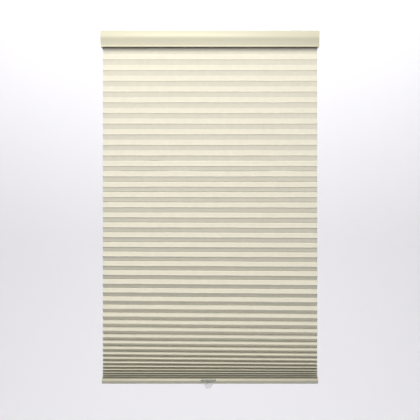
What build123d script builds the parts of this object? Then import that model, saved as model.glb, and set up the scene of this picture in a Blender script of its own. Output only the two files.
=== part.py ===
from build123d import *

import os
from math import acos, atan2, cos, degrees, sin, sqrt

# Cordless honeycomb (pleated) blind, hanging at its full drop.
# +Z is up, the front faces -Y, X runs across the blind.
# The origin is the centre of the bracket screw holes, on the top face of the brackets.

# ---- driving dimensions, in millimetres ----
HEADRAIL_LENGTH = 504.0
HEADRAIL_HEIGHT = 36.5
HEADRAIL_BACK = 22.0
HEADRAIL_FRONT_TOP = 20.8
HEADRAIL_FRONT_BULGE = 24.2
HEADRAIL_FRONT_FOOT = 16.2
HEADRAIL_BULGE_DROP = 15.5
HEADRAIL_BULGE_RADIUS = 14.0
HEADRAIL_FOOT_LIP = 1.4
HEADRAIL_LIP_HEIGHT = 2.2
HEADRAIL_TOP_LIP = 9.0
END_CAP_THICKNESS = 2.0
END_CAP_PLUG_DEPTH = 9.0
RAIL_WALL = 1.3

BRACKET_SHEET = 1.5
BRACKET_WIDTH = 24.0
BRACKET_OFFSET = 200.0
BRACKET_HOLE_RADIUS = 2.25
BRACKET_HOLE_SPACING = 14.0
BRACKET_HOOK = 4.0

FABRIC_WIDTH = 500.0
FABRIC_THICKNESS = 0.35
GLUE_LINE_WIDTH = 6.0
GLUE_LINE_THICKNESS = 0.5
CELL_COUNT = 41
CELL_WEB = 13.5
CELL_PITCH_FULL = 25.6
CELL_PITCH_SHUT = 0.7
CELL_RELAXED_COUNT = 21.0
CELL_STIFFENING = 4
CORD_HOLE_RADIUS = 2.0

STRIP_FLANGE_WIDTH = 20.0
STRIP_FLANGE_THICKNESS = 2.4
STRIP_STEM_WIDTH = 6.0
STRIP_FOOT_THICKNESS = 1.0
STRIP_SHOW = 1.5

BOTTOM_RAIL_HEIGHT = 12.5
BOTTOM_RAIL_TOP_WIDTH = 29.0
BOTTOM_RAIL_NOSE = 18.0
BOTTOM_RAIL_NOSE_DROP = 5.0
BOTTOM_RAIL_NOSE_RADIUS = 2.0
BOTTOM_RAIL_BASE_WIDTH = 26.0
BOTTOM_CAP_THICKNESS = 1.5
BOTTOM_CAP_PLUG_DEPTH = 10.0
WEIGHT_BAR_LENGTH = 420.0
WEIGHT_BAR_WIDTH = 8.0
WEIGHT_BAR_THICKNESS = 3.0
WEIGHT_BAR_OFFSET = 7.5

HANDLE_OFFSET = -4.0
HANDLE_TOP_WIDTH = 36.0
HANDLE_FOOT_WIDTH = 15.0
HANDLE_HEIGHT = 21.0
HANDLE_THICKNESS = 3.0
HANDLE_LUG_SPACING = 5.4
HANDLE_LUG_WIDTH = 2.4
HANDLE_LUG_HEIGHT = 2.0
HANDLE_LUG_BARB = 0.8
HANDLE_LUG_DROP = 8.5
HANDLE_LUG_REACH = 7.0
HANDLE_BARB_LENGTH = 1.4
HANDLE_TOP_DROP = 0.5
HANDLE_CORNER_RADIUS = 2.0
HANDLE_EDGE_RADIUS = 0.8

CORD_OFFSET = 150.0
CORD_RADIUS = 0.6
CORD_KNOT_RADIUS = 1.5
CORD_WRAP = 300.0
CORD_ANCHOR_RADIUS = 4.0
CORD_ANCHOR_THICKNESS = 1.6
SPOOL_BARREL_RADIUS = 6.7
SPOOL_FLANGE_GAP = 2.85
SPOOL_FLANGE_THICKNESS = 1.2
SPOOL_LENGTH = 26.0
JOURNAL_RADIUS = 5.0
JOURNAL_SNAP_WIDTH = 9.0
BEARING_EAR_THICKNESS = 3.0
CRADLE_WIDTH = 18.0
CRADLE_BASE = 1.6
NOZZLE_RADIUS = 3.0
NOZZLE_BORE_RADIUS = 1.2
ROD_ACROSS_FLATS = 5.0
ROD_OVERHANG = 4.0

MOTOR_INNER_LENGTH = 24.0
MOTOR_WALL = 1.6
DRUM_SPACING = 18.0
OUTPUT_CORE_RADIUS = 6.6
OUTPUT_COIL_RADIUS = 10.0
STORAGE_CORE_RADIUS = 5.4
STORAGE_COIL_RADIUS = 7.4
STORAGE_JOURNAL_RADIUS = 3.0
SPRING_WIDTH = 18.0
SPRING_THICKNESS = 0.3
MOTOR_SCREW_RADIUS = 1.1
MOTOR_SCREW_LENGTH = 9.0
MOTOR_SCREW_HEAD_RADIUS = 2.1
MOTOR_SCREW_HEAD_HEIGHT = 1.3
MOTOR_SCREW_SLOT = 0.7
MOTOR_SCREW_INSET = 3.95

RUNNING_CLEARANCE = 0.08
FIT_CLEARANCE = 0.15
LOOSE_CLEARANCE = 0.3

# ---- heights that follow from the driving dimensions ----
HEADRAIL_TOP = -BRACKET_SHEET
HEADRAIL_BOTTOM = HEADRAIL_TOP - HEADRAIL_HEIGHT
CHANNEL_DEPTH = STRIP_FLANGE_THICKNESS + LOOSE_CLEARANCE
CHANNEL_WIDTH = STRIP_FLANGE_WIDTH + 2 * LOOSE_CLEARANCE
CHANNEL_MOUTH = STRIP_STEM_WIDTH + 2 * LOOSE_CLEARANCE
LIP_TOP = HEADRAIL_BOTTOM + RAIL_WALL
FLOOR_UNDERSIDE = LIP_TOP + CHANNEL_DEPTH
FLOOR_TOP = FLOOR_UNDERSIDE + RAIL_WALL
ROOM_TOP = HEADRAIL_TOP - RAIL_WALL
ROD_Z = (FLOOR_TOP + ROOM_TOP) / 2
WINDING_RADIUS = SPOOL_BARREL_RADIUS + LOOSE_CLEARANCE + CORD_RADIUS
ROD_Y = WINDING_RADIUS
STORAGE_Y = ROD_Y - DRUM_SPACING
SPOOL_FLANGE_RADIUS = ROD_Z - FLOOR_TOP - CRADLE_BASE - SPOOL_FLANGE_GAP
STRIP_FOOT_BOTTOM = HEADRAIL_BOTTOM - STRIP_SHOW - STRIP_FOOT_THICKNESS


def cell_pitch(number):
    """Height of one cell, counted from the bottom: the weight below stretches it until it is taut."""
    load = number / CELL_RELAXED_COUNT
    share = load / (1 + load**CELL_STIFFENING) ** (1 / CELL_STIFFENING)
    return CELL_PITCH_SHUT + (CELL_PITCH_FULL - CELL_PITCH_SHUT) * share


def web_reach(pitch):
    """How far a crease stands out from the glue line of a cell of that height."""
    return sqrt(CELL_WEB**2 - (pitch / 2) ** 2)


def hollow_edge(height, half_pitch):
    """How far the inside of a web stands out, at that height from the glue line."""
    return (
        GLUE_LINE_WIDTH / 2
        + height * web_reach(2 * half_pitch) / half_pitch
        - FABRIC_THICKNESS * CELL_WEB / half_pitch
    )


TOP_HALF_CELL = cell_pitch(CELL_COUNT + 1) / 2
TOP_REACH = GLUE_LINE_WIDTH / 2 + web_reach(2 * TOP_HALF_CELL)
JOINT_HEIGHTS = [STRIP_FOOT_BOTTOM - TOP_HALF_CELL]
for cell in range(CELL_COUNT, 0, -1):
    JOINT_HEIGHTS.append(JOINT_HEIGHTS[-1] - cell_pitch(cell))
FABRIC_BOTTOM = JOINT_HEIGHTS[-1]
BOTTOM_RAIL_TOP = FABRIC_BOTTOM - STRIP_FOOT_THICKNESS - LOOSE_CLEARANCE
BOTTOM_RAIL_BASE = BOTTOM_RAIL_TOP - BOTTOM_RAIL_HEIGHT
BOTTOM_CHANNEL_FLOOR = BOTTOM_RAIL_TOP - RAIL_WALL - CHANNEL_DEPTH
BOTTOM_ROOM_TOP = BOTTOM_CHANNEL_FLOOR - RAIL_WALL
ANCHOR_BOTTOM = BOTTOM_ROOM_TOP - CORD_ANCHOR_THICKNESS

SEAM = GLUE_LINE_THICKNESS / 2
SIDES = {"left": -1, "right": 1}

os.makedirs("parts", exist_ok=True)


def finish(builder, name):
    """Label the piece and write it."""
    builder.part.label = name
    export_step(builder.part, f"parts/{name}.step")


# ---- headrail: extruded aluminium channel, open on top, with a slot below for the fabric strip ----
with BuildSketch(Plane.YZ) as headrail_outline:
    with BuildLine():
        Polyline(
            (-HEADRAIL_FRONT_TOP, HEADRAIL_TOP),
            (-HEADRAIL_FRONT_BULGE, HEADRAIL_TOP - HEADRAIL_BULGE_DROP),
            (-HEADRAIL_FRONT_FOOT, HEADRAIL_BOTTOM + HEADRAIL_LIP_HEIGHT),
            (-HEADRAIL_FRONT_FOOT - HEADRAIL_FOOT_LIP, HEADRAIL_BOTTOM + HEADRAIL_LIP_HEIGHT),
            (-HEADRAIL_FRONT_FOOT - HEADRAIL_FOOT_LIP, HEADRAIL_BOTTOM),
            (HEADRAIL_BACK, HEADRAIL_BOTTOM),
            (HEADRAIL_BACK, HEADRAIL_TOP),
            close=True,
        )
    make_face()
    fillet(headrail_outline.vertices().group_by(Axis.X)[0], HEADRAIL_BULGE_RADIUS)

with BuildSketch(Plane.YZ) as headrail_room:
    add(headrail_outline.sketch_local)
    offset(amount=-RAIL_WALL, kind=Kind.INTERSECTION, mode=Mode.REPLACE)
    with Locations((0, FLOOR_TOP)):
        Rectangle(4 * HEADRAIL_BACK, HEADRAIL_HEIGHT, align=(Align.CENTER, Align.MAX), mode=Mode.SUBTRACT)

ROOM_BOX = headrail_room.sketch_local.bounding_box()
MOUTH_WIDTH = ROOM_BOX.size.X - 2 * HEADRAIL_TOP_LIP
MOUTH_CENTRE = ROOM_BOX.center().X

with BuildSketch(Plane.YZ) as headrail_section:
    add(headrail_outline.sketch_local)
    add(headrail_room.sketch_local, mode=Mode.SUBTRACT)
    with Locations((MOUTH_CENTRE, HEADRAIL_TOP)):
        Rectangle(MOUTH_WIDTH, 2 * RAIL_WALL, mode=Mode.SUBTRACT)
    with Locations((0, LIP_TOP)):
        Rectangle(CHANNEL_WIDTH, CHANNEL_DEPTH, align=(Align.CENTER, Align.MIN), mode=Mode.SUBTRACT)
    with Locations((0, HEADRAIL_BOTTOM)):
        Rectangle(CHANNEL_MOUTH, 2 * RAIL_WALL, mode=Mode.SUBTRACT)
    # the grooves between the channel and the outer walls
    for groove_side, wall in ((-1, HEADRAIL_FRONT_FOOT), (1, HEADRAIL_BACK)):
        groove_start = CHANNEL_WIDTH / 2 + RAIL_WALL
        groove_width = wall - RAIL_WALL - groove_start
        with Locations((groove_side * (groove_start + groove_width / 2), HEADRAIL_BOTTOM)):
            Rectangle(groove_width, 2 * (FLOOR_UNDERSIDE - HEADRAIL_BOTTOM), mode=Mode.SUBTRACT)

with BuildPart() as headrail:
    with BuildSketch(Plane.YZ):
        add(headrail_section.sketch_local)
    extrude(amount=HEADRAIL_LENGTH / 2, both=True)
    with Locations(*[(side * CORD_OFFSET, 0, FLOOR_TOP) for side in SIDES.values()]):
        Hole(NOZZLE_RADIUS + FIT_CLEARANCE, depth=CHANNEL_DEPTH)
finish(headrail, "headrail")

for name, side in SIDES.items():
    with BuildPart() as end_cap:
        with BuildSketch(Plane.YZ.offset(side * HEADRAIL_LENGTH / 2)):
            add(headrail_outline.sketch_local)
        extrude(amount=side * END_CAP_THICKNESS)
        with BuildSketch(Plane.YZ.offset(side * HEADRAIL_LENGTH / 2)):
            add(headrail_room.sketch_local)
            offset(amount=-FIT_CLEARANCE, kind=Kind.INTERSECTION, mode=Mode.REPLACE)
            offset(amount=-2 * RAIL_WALL, kind=Kind.INTERSECTION, mode=Mode.SUBTRACT)
        extrude(amount=-side * END_CAP_PLUG_DEPTH)
    finish(end_cap, f"headrail_end_cap_{name}")

# ---- mounting brackets: folded steel plates whose legs hook under the headrail's top lips ----
LEG_OUTSIDE = MOUTH_WIDTH / 2 - LOOSE_CLEARANCE
HOOK_TOP = ROOM_TOP - FIT_CLEARANCE
for name, side in SIDES.items():
    with BuildPart() as bracket:
        with BuildSketch(Plane.YZ.offset(side * BRACKET_OFFSET)):
            with Locations((MOUTH_CENTRE, 0)):
                Rectangle(MOUTH_WIDTH + HEADRAIL_TOP_LIP, BRACKET_SHEET, align=(Align.CENTER, Align.MAX))
            for facing in (-1, 1):
                inner = facing * (LEG_OUTSIDE - BRACKET_SHEET)
                with Locations((MOUTH_CENTRE + inner + facing * BRACKET_SHEET / 2, HEADRAIL_TOP)):
                    Rectangle(
                        BRACKET_SHEET,
                        RAIL_WALL + FIT_CLEARANCE + BRACKET_SHEET,
                        align=(Align.CENTER, Align.MAX),
                    )
                with Locations((MOUTH_CENTRE + inner + facing * BRACKET_HOOK / 2, HOOK_TOP)):
                    Rectangle(BRACKET_HOOK, BRACKET_SHEET, align=(Align.CENTER, Align.MAX))
        extrude(amount=BRACKET_WIDTH / 2, both=True)
        with Locations((side * BRACKET_OFFSET, 0, 0)):
            with GridLocations(0, BRACKET_HOLE_SPACING, 1, 2):
                Hole(BRACKET_HOLE_RADIUS, depth=BRACKET_SHEET)
    finish(bracket, f"mounting_bracket_{name}")

# ---- honeycomb fabric: one welded web of cells, hanging from its top strip ----
with BuildSketch(Plane.YZ) as fabric_section:
    front = [(-TOP_REACH, STRIP_FOOT_BOTTOM), (-GLUE_LINE_WIDTH / 2, JOINT_HEIGHTS[0])]
    for upper, lower in zip(JOINT_HEIGHTS, JOINT_HEIGHTS[1:]):
        crease = GLUE_LINE_WIDTH / 2 + web_reach(upper - lower)
        front += [(-crease, (upper + lower) / 2), (-GLUE_LINE_WIDTH / 2, lower)]
    back = [(-y, z) for y, z in reversed(front)]
    with BuildLine():
        Polyline(*front, *back, close=True)
    make_face()

    # the hollow of the half cell that hangs from the strip
    with BuildLine():
        Polyline(
            (-hollow_edge(TOP_HALF_CELL - FABRIC_THICKNESS, TOP_HALF_CELL), STRIP_FOOT_BOTTOM - FABRIC_THICKNESS),
            (-hollow_edge(SEAM, TOP_HALF_CELL), JOINT_HEIGHTS[0] + SEAM),
            (hollow_edge(SEAM, TOP_HALF_CELL), JOINT_HEIGHTS[0] + SEAM),
            (hollow_edge(TOP_HALF_CELL - FABRIC_THICKNESS, TOP_HALF_CELL), STRIP_FOOT_BOTTOM - FABRIC_THICKNESS),
            close=True,
        )
    make_face(mode=Mode.SUBTRACT)

    # the hollow of every whole cell
    for upper, lower in zip(JOINT_HEIGHTS, JOINT_HEIGHTS[1:]):
        half_pitch = (upper - lower) / 2
        middle = (upper + lower) / 2
        hollow_crease = hollow_edge(half_pitch, half_pitch)
        hollow_seam = hollow_edge(SEAM, half_pitch)
        with BuildLine():
            Polyline(
                (-hollow_crease, middle),
                (-hollow_seam, upper - SEAM),
                (hollow_seam, upper - SEAM),
                (hollow_crease, middle),
                (hollow_seam, lower + SEAM),
                (-hollow_seam, lower + SEAM),
                close=True,
            )
        make_face(mode=Mode.SUBTRACT)

with BuildPart() as honeycomb_fabric:
    with BuildSketch(Plane.YZ):
        add(fabric_section.sketch_local)
    extrude(amount=FABRIC_WIDTH / 2, both=True)
    with Locations(*[(side * CORD_OFFSET, 0, STRIP_FOOT_BOTTOM) for side in SIDES.values()]):
        Hole(CORD_HOLE_RADIUS, depth=STRIP_FOOT_BOTTOM - FABRIC_BOTTOM)
finish(honeycomb_fabric, "honeycomb_fabric")


# ---- fabric strips: plastic extrusions that slide into the slots of both rails ----
def fabric_strip(name, seat, foot_face, foot_width, flange_side):
    """A flange on its seat, a stem through the slot, and a foot whose face carries the fabric."""
    flange_align = (Align.CENTER, Align.MIN if flange_side > 0 else Align.MAX)
    stem_align = (Align.CENTER, Align.MAX if flange_side > 0 else Align.MIN)
    stem = abs(seat - foot_face)
    with BuildPart() as strip:
        with BuildSketch(Plane.YZ):
            with Locations((0, seat)):
                Rectangle(STRIP_FLANGE_WIDTH, STRIP_FLANGE_THICKNESS, align=flange_align)
                Rectangle(STRIP_STEM_WIDTH, stem, align=stem_align)
            with Locations((0, foot_face)):
                Rectangle(foot_width, STRIP_FOOT_THICKNESS, align=flange_align)
        extrude(amount=FABRIC_WIDTH / 2, both=True)
        with Locations(*[(side * CORD_OFFSET, 0, 0) for side in SIDES.values()]):
            Cylinder(CORD_HOLE_RADIUS, -4 * BOTTOM_RAIL_BASE, mode=Mode.SUBTRACT)
    finish(strip, name)


fabric_strip("fabric_top_strip", LIP_TOP, STRIP_FOOT_BOTTOM, 2 * TOP_REACH, 1)
fabric_strip("fabric_bottom_strip", BOTTOM_RAIL_TOP - RAIL_WALL, FABRIC_BOTTOM, STRIP_FLANGE_WIDTH, -1)

# ---- bottom rail: extruded aluminium with a blunt nose, slotted on top for the lower strip ----
with BuildSketch(Plane.YZ) as bottom_outline:
    with BuildLine():
        Polyline(
            (-BOTTOM_RAIL_TOP_WIDTH / 2, BOTTOM_RAIL_TOP),
            (-BOTTOM_RAIL_NOSE, BOTTOM_RAIL_TOP - BOTTOM_RAIL_NOSE_DROP),
            (-BOTTOM_RAIL_BASE_WIDTH / 2, BOTTOM_RAIL_BASE),
            (BOTTOM_RAIL_BASE_WIDTH / 2, BOTTOM_RAIL_BASE),
            (BOTTOM_RAIL_NOSE, BOTTOM_RAIL_TOP - BOTTOM_RAIL_NOSE_DROP),
            (BOTTOM_RAIL_TOP_WIDTH / 2, BOTTOM_RAIL_TOP),
            close=True,
        )
    make_face()
    noses = bottom_outline.vertices().group_by(Axis.X)
    fillet(noses[0] + noses[-1], BOTTOM_RAIL_NOSE_RADIUS)

with BuildSketch(Plane.YZ) as bottom_room:
    add(bottom_outline.sketch_local)
    offset(amount=-RAIL_WALL, kind=Kind.INTERSECTION, mode=Mode.REPLACE)
    with Locations((0, BOTTOM_ROOM_TOP)):
        Rectangle(
            4 * BOTTOM_RAIL_NOSE,
            BOTTOM_RAIL_HEIGHT,
            align=(Align.CENTER, Align.MIN),
            mode=Mode.SUBTRACT,
        )

with BuildSketch(Plane.YZ) as bottom_section:
    add(bottom_outline.sketch_local)
    add(bottom_room.sketch_local, mode=Mode.SUBTRACT)
    with Locations((0, BOTTOM_CHANNEL_FLOOR)):
        Rectangle(CHANNEL_WIDTH, CHANNEL_DEPTH, align=(Align.CENTER, Align.MIN), mode=Mode.SUBTRACT)
    with Locations((0, BOTTOM_RAIL_TOP)):
        Rectangle(CHANNEL_MOUTH, 2 * RAIL_WALL, mode=Mode.SUBTRACT)

LUG_TOP = BOTTOM_RAIL_TOP - HANDLE_LUG_DROP + HANDLE_LUG_HEIGHT / 2
LUG_END = HANDLE_LUG_REACH - BOTTOM_RAIL_NOSE
LUG_PLACES = [(HANDLE_OFFSET + half * HANDLE_LUG_SPACING / 2, 0) for half in SIDES.values()]

with BuildPart() as bottom_rail:
    with BuildSketch(Plane.YZ):
        add(bottom_section.sketch_local)
    extrude(amount=FABRIC_WIDTH / 2, both=True)
    with Locations(*[(side * CORD_OFFSET, 0, BOTTOM_CHANNEL_FLOOR) for side in SIDES.values()]):
        Cylinder(CORD_HOLE_RADIUS, 3 * RAIL_WALL, mode=Mode.SUBTRACT)
    with Locations(*[(x, -BOTTOM_RAIL_NOSE, LUG_TOP + FIT_CLEARANCE) for x, _ in LUG_PLACES]):
        Box(
            HANDLE_LUG_WIDTH + 2 * FIT_CLEARANCE,
            HANDLE_LUG_REACH,
            HANDLE_LUG_HEIGHT + HANDLE_LUG_BARB + 2 * FIT_CLEARANCE,
            align=(Align.CENTER, Align.MIN, Align.MAX),
            mode=Mode.SUBTRACT,
        )
finish(bottom_rail, "bottom_rail")

for name, side in SIDES.items():
    with BuildPart() as bottom_cap:
        with BuildSketch(Plane.YZ.offset(side * FABRIC_WIDTH / 2)):
            add(bottom_outline.sketch_local)
        extrude(amount=side * BOTTOM_CAP_THICKNESS)
        with BuildSketch(Plane.YZ.offset(side * FABRIC_WIDTH / 2)):
            add(bottom_room.sketch_local)
            offset(amount=-FIT_CLEARANCE, kind=Kind.INTERSECTION, mode=Mode.REPLACE)
        extrude(amount=-side * BOTTOM_CAP_PLUG_DEPTH)
    finish(bottom_cap, f"bottom_rail_end_cap_{name}")

with BuildPart() as weight_bar:
    with Locations((0, WEIGHT_BAR_OFFSET, BOTTOM_RAIL_BASE + RAIL_WALL)):
        Box(
            WEIGHT_BAR_LENGTH,
            WEIGHT_BAR_WIDTH,
            WEIGHT_BAR_THICKNESS,
            align=(Align.CENTER, Align.CENTER, Align.MIN),
        )
finish(weight_bar, "bottom_rail_weight_bar")

# ---- pull handle: clear moulding whose lugs snap through the front of the bottom rail ----
HANDLE_BACK = BOTTOM_RAIL_NOSE + FIT_CLEARANCE
with BuildPart() as pull_handle:
    with BuildSketch(Plane.XZ.offset(HANDLE_BACK)) as handle_face:
        with BuildLine():
            Polyline(
                (HANDLE_OFFSET - HANDLE_TOP_WIDTH / 2, BOTTOM_RAIL_TOP - HANDLE_TOP_DROP),
                (HANDLE_OFFSET + HANDLE_TOP_WIDTH / 2, BOTTOM_RAIL_TOP - HANDLE_TOP_DROP),
                (HANDLE_OFFSET + HANDLE_FOOT_WIDTH / 2, BOTTOM_RAIL_TOP - HANDLE_TOP_DROP - HANDLE_HEIGHT),
                (HANDLE_OFFSET - HANDLE_FOOT_WIDTH / 2, BOTTOM_RAIL_TOP - HANDLE_TOP_DROP - HANDLE_HEIGHT),
                close=True,
            )
        make_face()
        fillet(handle_face.vertices(), HANDLE_CORNER_RADIUS)
    extrude(amount=HANDLE_THICKNESS)
    fillet(pull_handle.faces().sort_by(Axis.Y)[0].edges(), HANDLE_EDGE_RADIUS)
    with Locations(*[(x, -HANDLE_BACK, LUG_TOP) for x, _ in LUG_PLACES]):
        Box(
            HANDLE_LUG_WIDTH,
            HANDLE_BACK + LUG_END,
            HANDLE_LUG_HEIGHT,
            align=(Align.CENTER, Align.MIN, Align.MAX),
        )
    with Locations(*[(x, LUG_END, LUG_TOP) for x, _ in LUG_PLACES]):
        Box(
            HANDLE_LUG_WIDTH,
            HANDLE_BARB_LENGTH,
            HANDLE_LUG_HEIGHT + HANDLE_LUG_BARB,
            align=(Align.CENTER, Align.MAX, Align.MAX),
        )
finish(pull_handle, "pull_handle")


# ---- pieces that turn about X ----
def x_cylinder(start, end, radius, y, z, mode=Mode.ADD):
    """A cylinder along X in the part being built."""
    with Locations(Location(((start + end) / 2, y, z), (0, 90, 0))):
        Cylinder(radius, abs(end - start), mode=mode)


def rod_bore(start, end):
    """The hexagonal bore that the lift rod drives."""
    with BuildSketch(Plane.YZ.offset(start)) as hexagon:
        with Locations((ROD_Y, ROD_Z)):
            RegularPolygon(ROD_ACROSS_FLATS / 2 + FIT_CLEARANCE, 6, major_radius=False)
    extrude(hexagon.sketch, amount=end - start, mode=Mode.SUBTRACT)


SPOOL_START = CORD_OFFSET - 3 * CORD_RADIUS - SPOOL_FLANGE_THICKNESS
SPOOL_END = SPOOL_START + SPOOL_LENGTH
CRADLE_START = SPOOL_START - LOOSE_CLEARANCE - BEARING_EAR_THICKNESS
CRADLE_END = SPOOL_END + LOOSE_CLEARANCE + BEARING_EAR_THICKNESS

with BuildPart() as lift_rod:
    rod_end = CRADLE_END + ROD_OVERHANG
    with BuildSketch(Plane.YZ.offset(-rod_end)):
        with Locations((ROD_Y, ROD_Z)):
            RegularPolygon(ROD_ACROSS_FLATS / 2, 6, major_radius=False)
    extrude(amount=2 * rod_end)
finish(lift_rod, "lift_rod")

for name, side in SIDES.items():
    with BuildPart() as cord_spool:
        x_cylinder(side * SPOOL_START, side * SPOOL_END, SPOOL_BARREL_RADIUS, ROD_Y, ROD_Z)
        for flange in (SPOOL_START, SPOOL_END - SPOOL_FLANGE_THICKNESS):
            flange_end = flange + SPOOL_FLANGE_THICKNESS
            x_cylinder(side * flange, side * flange_end, SPOOL_FLANGE_RADIUS, ROD_Y, ROD_Z)
        x_cylinder(side * CRADLE_START, side * CRADLE_END, JOURNAL_RADIUS, ROD_Y, ROD_Z)
        rod_bore(side * CRADLE_START, side * CRADLE_END)
    finish(cord_spool, f"cord_spool_{name}")

    with BuildPart() as cradle:
        base_front = -NOZZLE_RADIUS - CRADLE_BASE
        base_back = ROD_Y + CRADLE_WIDTH / 2
        with Locations((side * CRADLE_START, base_front, FLOOR_TOP)):
            Box(
                CRADLE_END - CRADLE_START,
                base_back - base_front,
                CRADLE_BASE,
                align=(Align.MIN if side > 0 else Align.MAX, Align.MIN, Align.MIN),
            )
        for ear in (CRADLE_START, CRADLE_END - BEARING_EAR_THICKNESS):
            with BuildSketch(Plane.YZ.offset(side * ear)):
                with Locations((ROD_Y, FLOOR_TOP)):
                    Rectangle(
                        CRADLE_WIDTH,
                        ROD_Z + JOURNAL_RADIUS - FLOOR_TOP,
                        align=(Align.CENTER, Align.MIN),
                    )
                with Locations((ROD_Y, ROD_Z)):
                    Circle(JOURNAL_RADIUS + RUNNING_CLEARANCE, mode=Mode.SUBTRACT)
                    Rectangle(
                        JOURNAL_SNAP_WIDTH,
                        2 * JOURNAL_RADIUS,
                        align=(Align.CENTER, Align.MIN),
                        mode=Mode.SUBTRACT,
                    )
            extrude(amount=side * BEARING_EAR_THICKNESS)
        with Locations((side * CORD_OFFSET, 0, FLOOR_TOP)):
            Cylinder(NOZZLE_RADIUS, RAIL_WALL, align=(Align.CENTER, Align.CENTER, Align.MAX))
            Cylinder(NOZZLE_BORE_RADIUS, 4 * RAIL_WALL, mode=Mode.SUBTRACT)
    finish(cradle, f"spool_cradle_{name}")

# ---- spring motor: a steel ribbon that winds from the output drum to the storage drum ----
MOTOR_START = -MOTOR_INNER_LENGTH / 2 - MOTOR_WALL
MOTOR_MOUTH = MOTOR_INNER_LENGTH / 2
MOTOR_END = MOTOR_MOUTH + MOTOR_WALL
SCREW_PLACES = [
    (y, z)
    for y in (RAIL_WALL - HEADRAIL_FRONT_FOOT, HEADRAIL_BACK - RAIL_WALL - MOTOR_SCREW_INSET)
    for z in (FLOOR_TOP + MOTOR_SCREW_INSET, ROOM_TOP - MOTOR_SCREW_INSET)
]

with BuildSketch(Plane.YZ) as motor_outline:
    add(headrail_room.sketch_local)
    offset(amount=-LOOSE_CLEARANCE, kind=Kind.INTERSECTION, mode=Mode.REPLACE)

with BuildPart() as motor_housing:
    with BuildSketch(Plane.YZ.offset(MOTOR_START)):
        add(motor_outline.sketch_local)
    extrude(amount=MOTOR_MOUTH - MOTOR_START)
    with BuildSketch(Plane.YZ.offset(MOTOR_START + MOTOR_WALL)):
        with Locations((ROD_Y, ROD_Z)):
            Circle(OUTPUT_COIL_RADIUS + LOOSE_CLEARANCE)
        with Locations((STORAGE_Y, ROD_Z)):
            Circle(DRUM_SPACING / 2)
        with Locations(((ROD_Y + STORAGE_Y) / 2, ROD_Z)):
            Rectangle(DRUM_SPACING, DRUM_SPACING / 2)
    extrude(amount=MOTOR_INNER_LENGTH, mode=Mode.SUBTRACT)
    journal_bore = JOURNAL_RADIUS + RUNNING_CLEARANCE
    storage_bore = STORAGE_JOURNAL_RADIUS + RUNNING_CLEARANCE
    x_cylinder(MOTOR_START, MOTOR_MOUTH, journal_bore, ROD_Y, ROD_Z, Mode.SUBTRACT)
    x_cylinder(MOTOR_START, MOTOR_MOUTH, storage_bore, STORAGE_Y, ROD_Z, Mode.SUBTRACT)
    for y, z in SCREW_PLACES:
        pilot = MOTOR_SCREW_RADIUS + RUNNING_CLEARANCE
        x_cylinder(MOTOR_MOUTH - MOTOR_SCREW_LENGTH, MOTOR_MOUTH, pilot, y, z, Mode.SUBTRACT)
finish(motor_housing, "spring_motor_housing")

with BuildPart() as motor_cover:
    with BuildSketch(Plane.YZ.offset(MOTOR_MOUTH)):
        add(motor_outline.sketch_local)
        with Locations((ROD_Y, ROD_Z)):
            Circle(JOURNAL_RADIUS + RUNNING_CLEARANCE, mode=Mode.SUBTRACT)
        with Locations((STORAGE_Y, ROD_Z)):
            Circle(STORAGE_JOURNAL_RADIUS + RUNNING_CLEARANCE, mode=Mode.SUBTRACT)
        with Locations(*SCREW_PLACES):
            Circle(MOTOR_SCREW_RADIUS + RUNNING_CLEARANCE, mode=Mode.SUBTRACT)
    extrude(amount=MOTOR_WALL)
finish(motor_cover, "spring_motor_cover")

with BuildPart() as motor_screws:
    for y, z in SCREW_PLACES:
        shank_tip = MOTOR_END - MOTOR_SCREW_LENGTH
        head_top = MOTOR_END + MOTOR_SCREW_HEAD_HEIGHT
        x_cylinder(shank_tip, MOTOR_END, MOTOR_SCREW_RADIUS, y, z)
        x_cylinder(MOTOR_END, head_top, MOTOR_SCREW_HEAD_RADIUS, y, z)
        slot_floor = head_top - MOTOR_SCREW_HEAD_HEIGHT / 2
        with BuildSketch(Plane.YZ.offset(slot_floor)):
            with Locations((y, z)):
                Rectangle(2 * MOTOR_SCREW_HEAD_RADIUS, MOTOR_SCREW_SLOT)
                Rectangle(MOTOR_SCREW_SLOT, 2 * MOTOR_SCREW_HEAD_RADIUS)
        extrude(amount=MOTOR_SCREW_HEAD_HEIGHT / 2, mode=Mode.SUBTRACT)
finish(motor_screws, "motor_cover_screws")

DRUM_REACH = MOTOR_INNER_LENGTH / 2 - LOOSE_CLEARANCE
with BuildPart() as output_drum:
    x_cylinder(-DRUM_REACH, DRUM_REACH, OUTPUT_CORE_RADIUS, ROD_Y, ROD_Z)
    x_cylinder(MOTOR_START, MOTOR_END, JOURNAL_RADIUS, ROD_Y, ROD_Z)
    rod_bore(MOTOR_START, MOTOR_END)
finish(output_drum, "spring_output_drum")

with BuildPart() as storage_drum:
    x_cylinder(-DRUM_REACH, DRUM_REACH, STORAGE_CORE_RADIUS, STORAGE_Y, ROD_Z)
    x_cylinder(MOTOR_START, MOTOR_END, STORAGE_JOURNAL_RADIUS, STORAGE_Y, ROD_Z)
finish(storage_drum, "spring_storage_drum")

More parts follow.
